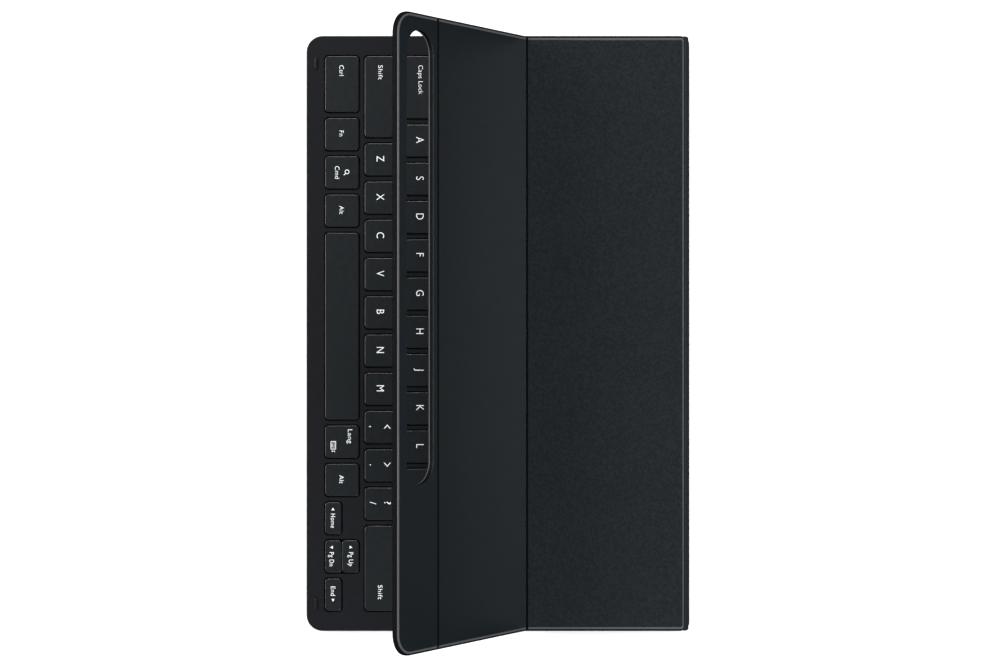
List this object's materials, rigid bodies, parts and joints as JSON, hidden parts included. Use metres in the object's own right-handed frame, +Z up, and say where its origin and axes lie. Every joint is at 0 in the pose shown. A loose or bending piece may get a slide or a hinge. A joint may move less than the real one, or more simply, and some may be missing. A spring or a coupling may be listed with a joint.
{
  "type": "tablet keyboard case",
  "caption": "Slim folio case for a large tablet: a flat keyboard deck, a spine, and a cover that folds across its middle, with a long pill-shaped pen slot in a creased strip.",
  "frame": {"origin": "middle of the bounding box's footprint, on the surface that the case lies on", "axes": "+X along the keyboard to the user's right, +Y from the front edge back to the spine, +Z up"},
  "size_m": [0.288, 0.185, 0.0978],
  "materials": {
    "cover_leather": "matt near-black coated leather with a fine grain",
    "microfibre_lining": "soft matt dark grey microfibre",
    "stiffener_board": "plain pressed board",
    "deck_plastic": "matt black fine spark texture",
    "base_plastic": "matt black moulded",
    "keycap_plastic": "matt black keycap with a soft edge",
    "steel_plate": "rolled sheet",
    "printed_film": "clear polyester film",
    "silicone": "translucent silicone",
    "bumper_rubber": "soft matt black",
    "link_plastic": "natural acetal",
    "circuit_board": "green solder mask",
    "magnet": "nickel plated",
    "gold_contact": "gold plated"
  },
  "bodies": {
    "deck": {"deck_skin": "cover_leather", "deck_base": "base_plastic", "deck_frame": "deck_plastic", "switch_plate": "steel_plate", "membrane": "printed_film", "dome_sheet": "silicone", "scissor_links": "link_plastic", "controller_board": "circuit_board", "dock_bar": "deck_plastic", "dock_magnets": "magnet", "deck_bumpers": "bumper_rubber"},
    "connector_pins": {"connector_pins": "gold_contact"},
    "ctrl_key": {"ctrl_key": "keycap_plastic"},
    "fn_key": {"fn_key": "keycap_plastic"},
    "command_key": {"command_key": "keycap_plastic"},
    "left_alt_key": {"left_alt_key": "keycap_plastic"},
    "space_key": {"space_key": "keycap_plastic"},
    "language_key": {"language_key": "keycap_plastic"},
    "right_alt_key": {"right_alt_key": "keycap_plastic"},
    "home_key": {"home_key": "keycap_plastic"},
    "page_down_key": {"page_down_key": "keycap_plastic"},
    "page_up_key": {"page_up_key": "keycap_plastic"},
    "end_key": {"end_key": "keycap_plastic"},
    "left_shift_key": {"left_shift_key": "keycap_plastic"},
    "z_key": {"z_key": "keycap_plastic"},
    "x_key": {"x_key": "keycap_plastic"},
    "c_key": {"c_key": "keycap_plastic"},
    "v_key": {"v_key": "keycap_plastic"},
    "b_key": {"b_key": "keycap_plastic"},
    "n_key": {"n_key": "keycap_plastic"},
    "m_key": {"m_key": "keycap_plastic"},
    "comma_key": {"comma_key": "keycap_plastic"},
    "period_key": {"period_key": "keycap_plastic"},
    "slash_key": {"slash_key": "keycap_plastic"},
    "right_shift_key": {"right_shift_key": "keycap_plastic"},
    "caps_lock_key": {"caps_lock_key": "keycap_plastic"},
    "a_key": {"a_key": "keycap_plastic"},
    "s_key": {"s_key": "keycap_plastic"},
    "d_key": {"d_key": "keycap_plastic"},
    "f_key": {"f_key": "keycap_plastic"},
    "g_key": {"g_key": "keycap_plastic"},
    "h_key": {"h_key": "keycap_plastic"},
    "j_key": {"j_key": "keycap_plastic"},
    "k_key": {"k_key": "keycap_plastic"},
    "l_key": {"l_key": "keycap_plastic"},
    "home_row_end_keys": {"home_row_end_keys": "keycap_plastic"},
    "tab_row_keys": {"tab_row_keys": "keycap_plastic"},
    "number_and_function_keys": {"number_and_function_keys": "keycap_plastic"},
    "spine": {"spine_skin": "cover_leather", "spine_board": "stiffener_board"},
    "lower_panel": {"lower_panel_skin": "cover_leather", "lower_panel_board": "stiffener_board", "lower_panel_lining": "microfibre_lining"},
    "upper_panel": {"upper_panel_skin": "cover_leather", "upper_panel_board": "stiffener_board", "upper_panel_lining": "microfibre_lining", "upper_panel_magnets": "magnet"},
    "pen_strip": {"pen_strip_skin": "cover_leather", "pen_strip_board": "stiffener_board", "pen_strip_lining": "microfibre_lining"}
  },
  "joints": [
    {"name": "spine_hinge", "type": "hinge", "parent": "deck", "child": "spine", "pos_m": [0, 0.09215, 0.00035], "axis": [-1, 0, 0], "range_deg": [0, 178]},
    {"name": "cover_hinge", "type": "hinge", "parent": "spine", "child": "lower_panel", "pos_m": [0, 0.09015, 0.00795], "axis": [-1, 0, 0], "range_deg": [0, 178]},
    {"name": "cover_fold", "type": "hinge", "parent": "lower_panel", "child": "upper_panel", "pos_m": [0, 0.0138, 0.00795], "axis": [1, 0, 0], "range_deg": [-63, 57]},
    {"name": "strip_fold", "type": "hinge", "parent": "upper_panel", "child": "pen_strip", "pos_m": [0, -0.02727, 0.07119], "axis": [1, 0, 0], "range_deg": [-90, 0]},
    {"name": "connector_pins_press", "type": "slide", "parent": "deck", "child": "connector_pins", "axis": [0, 0, -1], "range_m": [0, 0.0004], "stiffness_N_per_m": 400, "springref_m": -0.001},
    {"name": "ctrl_key_press", "type": "slide", "parent": "deck", "child": "ctrl_key", "axis": [0, 0, -1], "range_m": [0, 0.001], "stiffness_N_per_m": 200, "springref_m": -0.0005},
    {"name": "fn_key_press", "type": "slide", "parent": "deck", "child": "fn_key", "axis": [0, 0, -1], "range_m": [0, 0.001], "stiffness_N_per_m": 200, "springref_m": -0.0005},
    {"name": "command_key_press", "type": "slide", "parent": "deck", "child": "command_key", "axis": [0, 0, -1], "range_m": [0, 0.001], "stiffness_N_per_m": 200, "springref_m": -0.0005},
    {"name": "left_alt_key_press", "type": "slide", "parent": "deck", "child": "left_alt_key", "axis": [0, 0, -1], "range_m": [0, 0.001], "stiffness_N_per_m": 200, "springref_m": -0.0005},
    {"name": "space_key_press", "type": "slide", "parent": "deck", "child": "space_key", "axis": [0, 0, -1], "range_m": [0, 0.001], "stiffness_N_per_m": 200, "springref_m": -0.0005},
    {"name": "language_key_press", "type": "slide", "parent": "deck", "child": "language_key", "axis": [0, 0, -1], "range_m": [0, 0.001], "stiffness_N_per_m": 200, "springref_m": -0.0005},
    {"name": "right_alt_key_press", "type": "slide", "parent": "deck", "child": "right_alt_key", "axis": [0, 0, -1], "range_m": [0, 0.001], "stiffness_N_per_m": 200, "springref_m": -0.0005},
    {"name": "home_key_press", "type": "slide", "parent": "deck", "child": "home_key", "axis": [0, 0, -1], "range_m": [0, 0.001], "stiffness_N_per_m": 200, "springref_m": -0.0005},
    {"name": "page_down_key_press", "type": "slide", "parent": "deck", "child": "page_down_key", "axis": [0, 0, -1], "range_m": [0, 0.001], "stiffness_N_per_m": 200, "springref_m": -0.0005},
    {"name": "page_up_key_press", "type": "slide", "parent": "deck", "child": "page_up_key", "axis": [0, 0, -1], "range_m": [0, 0.001], "stiffness_N_per_m": 200, "springref_m": -0.0005},
    {"name": "end_key_press", "type": "slide", "parent": "deck", "child": "end_key", "axis": [0, 0, -1], "range_m": [0, 0.001], "stiffness_N_per_m": 200, "springref_m": -0.0005},
    {"name": "left_shift_key_press", "type": "slide", "parent": "deck", "child": "left_shift_key", "axis": [0, 0, -1], "range_m": [0, 0.001], "stiffness_N_per_m": 200, "springref_m": -0.0005},
    {"name": "z_key_press", "type": "slide", "parent": "deck", "child": "z_key", "axis": [0, 0, -1], "range_m": [0, 0.001], "stiffness_N_per_m": 200, "springref_m": -0.0005},
    {"name": "x_key_press", "type": "slide", "parent": "deck", "child": "x_key", "axis": [0, 0, -1], "range_m": [0, 0.001], "stiffness_N_per_m": 200, "springref_m": -0.0005},
    {"name": "c_key_press", "type": "slide", "parent": "deck", "child": "c_key", "axis": [0, 0, -1], "range_m": [0, 0.001], "stiffness_N_per_m": 200, "springref_m": -0.0005},
    {"name": "v_key_press", "type": "slide", "parent": "deck", "child": "v_key", "axis": [0, 0, -1], "range_m": [0, 0.001], "stiffness_N_per_m": 200, "springref_m": -0.0005},
    {"name": "b_key_press", "type": "slide", "parent": "deck", "child": "b_key", "axis": [0, 0, -1], "range_m": [0, 0.001], "stiffness_N_per_m": 200, "springref_m": -0.0005},
    {"name": "n_key_press", "type": "slide", "parent": "deck", "child": "n_key", "axis": [0, 0, -1], "range_m": [0, 0.001], "stiffness_N_per_m": 200, "springref_m": -0.0005},
    {"name": "m_key_press", "type": "slide", "parent": "deck", "child": "m_key", "axis": [0, 0, -1], "range_m": [0, 0.001], "stiffness_N_per_m": 200, "springref_m": -0.0005},
    {"name": "comma_key_press", "type": "slide", "parent": "deck", "child": "comma_key", "axis": [0, 0, -1], "range_m": [0, 0.001], "stiffness_N_per_m": 200, "springref_m": -0.0005},
    {"name": "period_key_press", "type": "slide", "parent": "deck", "child": "period_key", "axis": [0, 0, -1], "range_m": [0, 0.001], "stiffness_N_per_m": 200, "springref_m": -0.0005},
    {"name": "slash_key_press", "type": "slide", "parent": "deck", "child": "slash_key", "axis": [0, 0, -1], "range_m": [0, 0.001], "stiffness_N_per_m": 200, "springref_m": -0.0005},
    {"name": "right_shift_key_press", "type": "slide", "parent": "deck", "child": "right_shift_key", "axis": [0, 0, -1], "range_m": [0, 0.001], "stiffness_N_per_m": 200, "springref_m": -0.0005},
    {"name": "caps_lock_key_press", "type": "slide", "parent": "deck", "child": "caps_lock_key", "axis": [0, 0, -1], "range_m": [0, 0.001], "stiffness_N_per_m": 200, "springref_m": -0.0005},
    {"name": "a_key_press", "type": "slide", "parent": "deck", "child": "a_key", "axis": [0, 0, -1], "range_m": [0, 0.001], "stiffness_N_per_m": 200, "springref_m": -0.0005},
    {"name": "s_key_press", "type": "slide", "parent": "deck", "child": "s_key", "axis": [0, 0, -1], "range_m": [0, 0.001], "stiffness_N_per_m": 200, "springref_m": -0.0005},
    {"name": "d_key_press", "type": "slide", "parent": "deck", "child": "d_key", "axis": [0, 0, -1], "range_m": [0, 0.001], "stiffness_N_per_m": 200, "springref_m": -0.0005},
    {"name": "f_key_press", "type": "slide", "parent": "deck", "child": "f_key", "axis": [0, 0, -1], "range_m": [0, 0.001], "stiffness_N_per_m": 200, "springref_m": -0.0005},
    {"name": "g_key_press", "type": "slide", "parent": "deck", "child": "g_key", "axis": [0, 0, -1], "range_m": [0, 0.001], "stiffness_N_per_m": 200, "springref_m": -0.0005},
    {"name": "h_key_press", "type": "slide", "parent": "deck", "child": "h_key", "axis": [0, 0, -1], "range_m": [0, 0.001], "stiffness_N_per_m": 200, "springref_m": -0.0005},
    {"name": "j_key_press", "type": "slide", "parent": "deck", "child": "j_key", "axis": [0, 0, -1], "range_m": [0, 0.001], "stiffness_N_per_m": 200, "springref_m": -0.0005},
    {"name": "k_key_press", "type": "slide", "parent": "deck", "child": "k_key", "axis": [0, 0, -1], "range_m": [0, 0.001], "stiffness_N_per_m": 200, "springref_m": -0.0005},
    {"name": "l_key_press", "type": "slide", "parent": "deck", "child": "l_key", "axis": [0, 0, -1], "range_m": [0, 0.001], "stiffness_N_per_m": 200, "springref_m": -0.0005},
    {"name": "home_row_end_keys_press", "type": "slide", "parent": "deck", "child": "home_row_end_keys", "axis": [0, 0, -1], "range_m": [0, 0.001], "stiffness_N_per_m": 200, "springref_m": -0.0005},
    {"name": "tab_row_keys_press", "type": "slide", "parent": "deck", "child": "tab_row_keys", "axis": [0, 0, -1], "range_m": [0, 0.001], "stiffness_N_per_m": 200, "springref_m": -0.0005},
    {"name": "number_and_function_keys_press", "type": "slide", "parent": "deck", "child": "number_and_function_keys", "axis": [0, 0, -1], "range_m": [0, 0.001], "stiffness_N_per_m": 200, "springref_m": -0.0005}
  ]
}
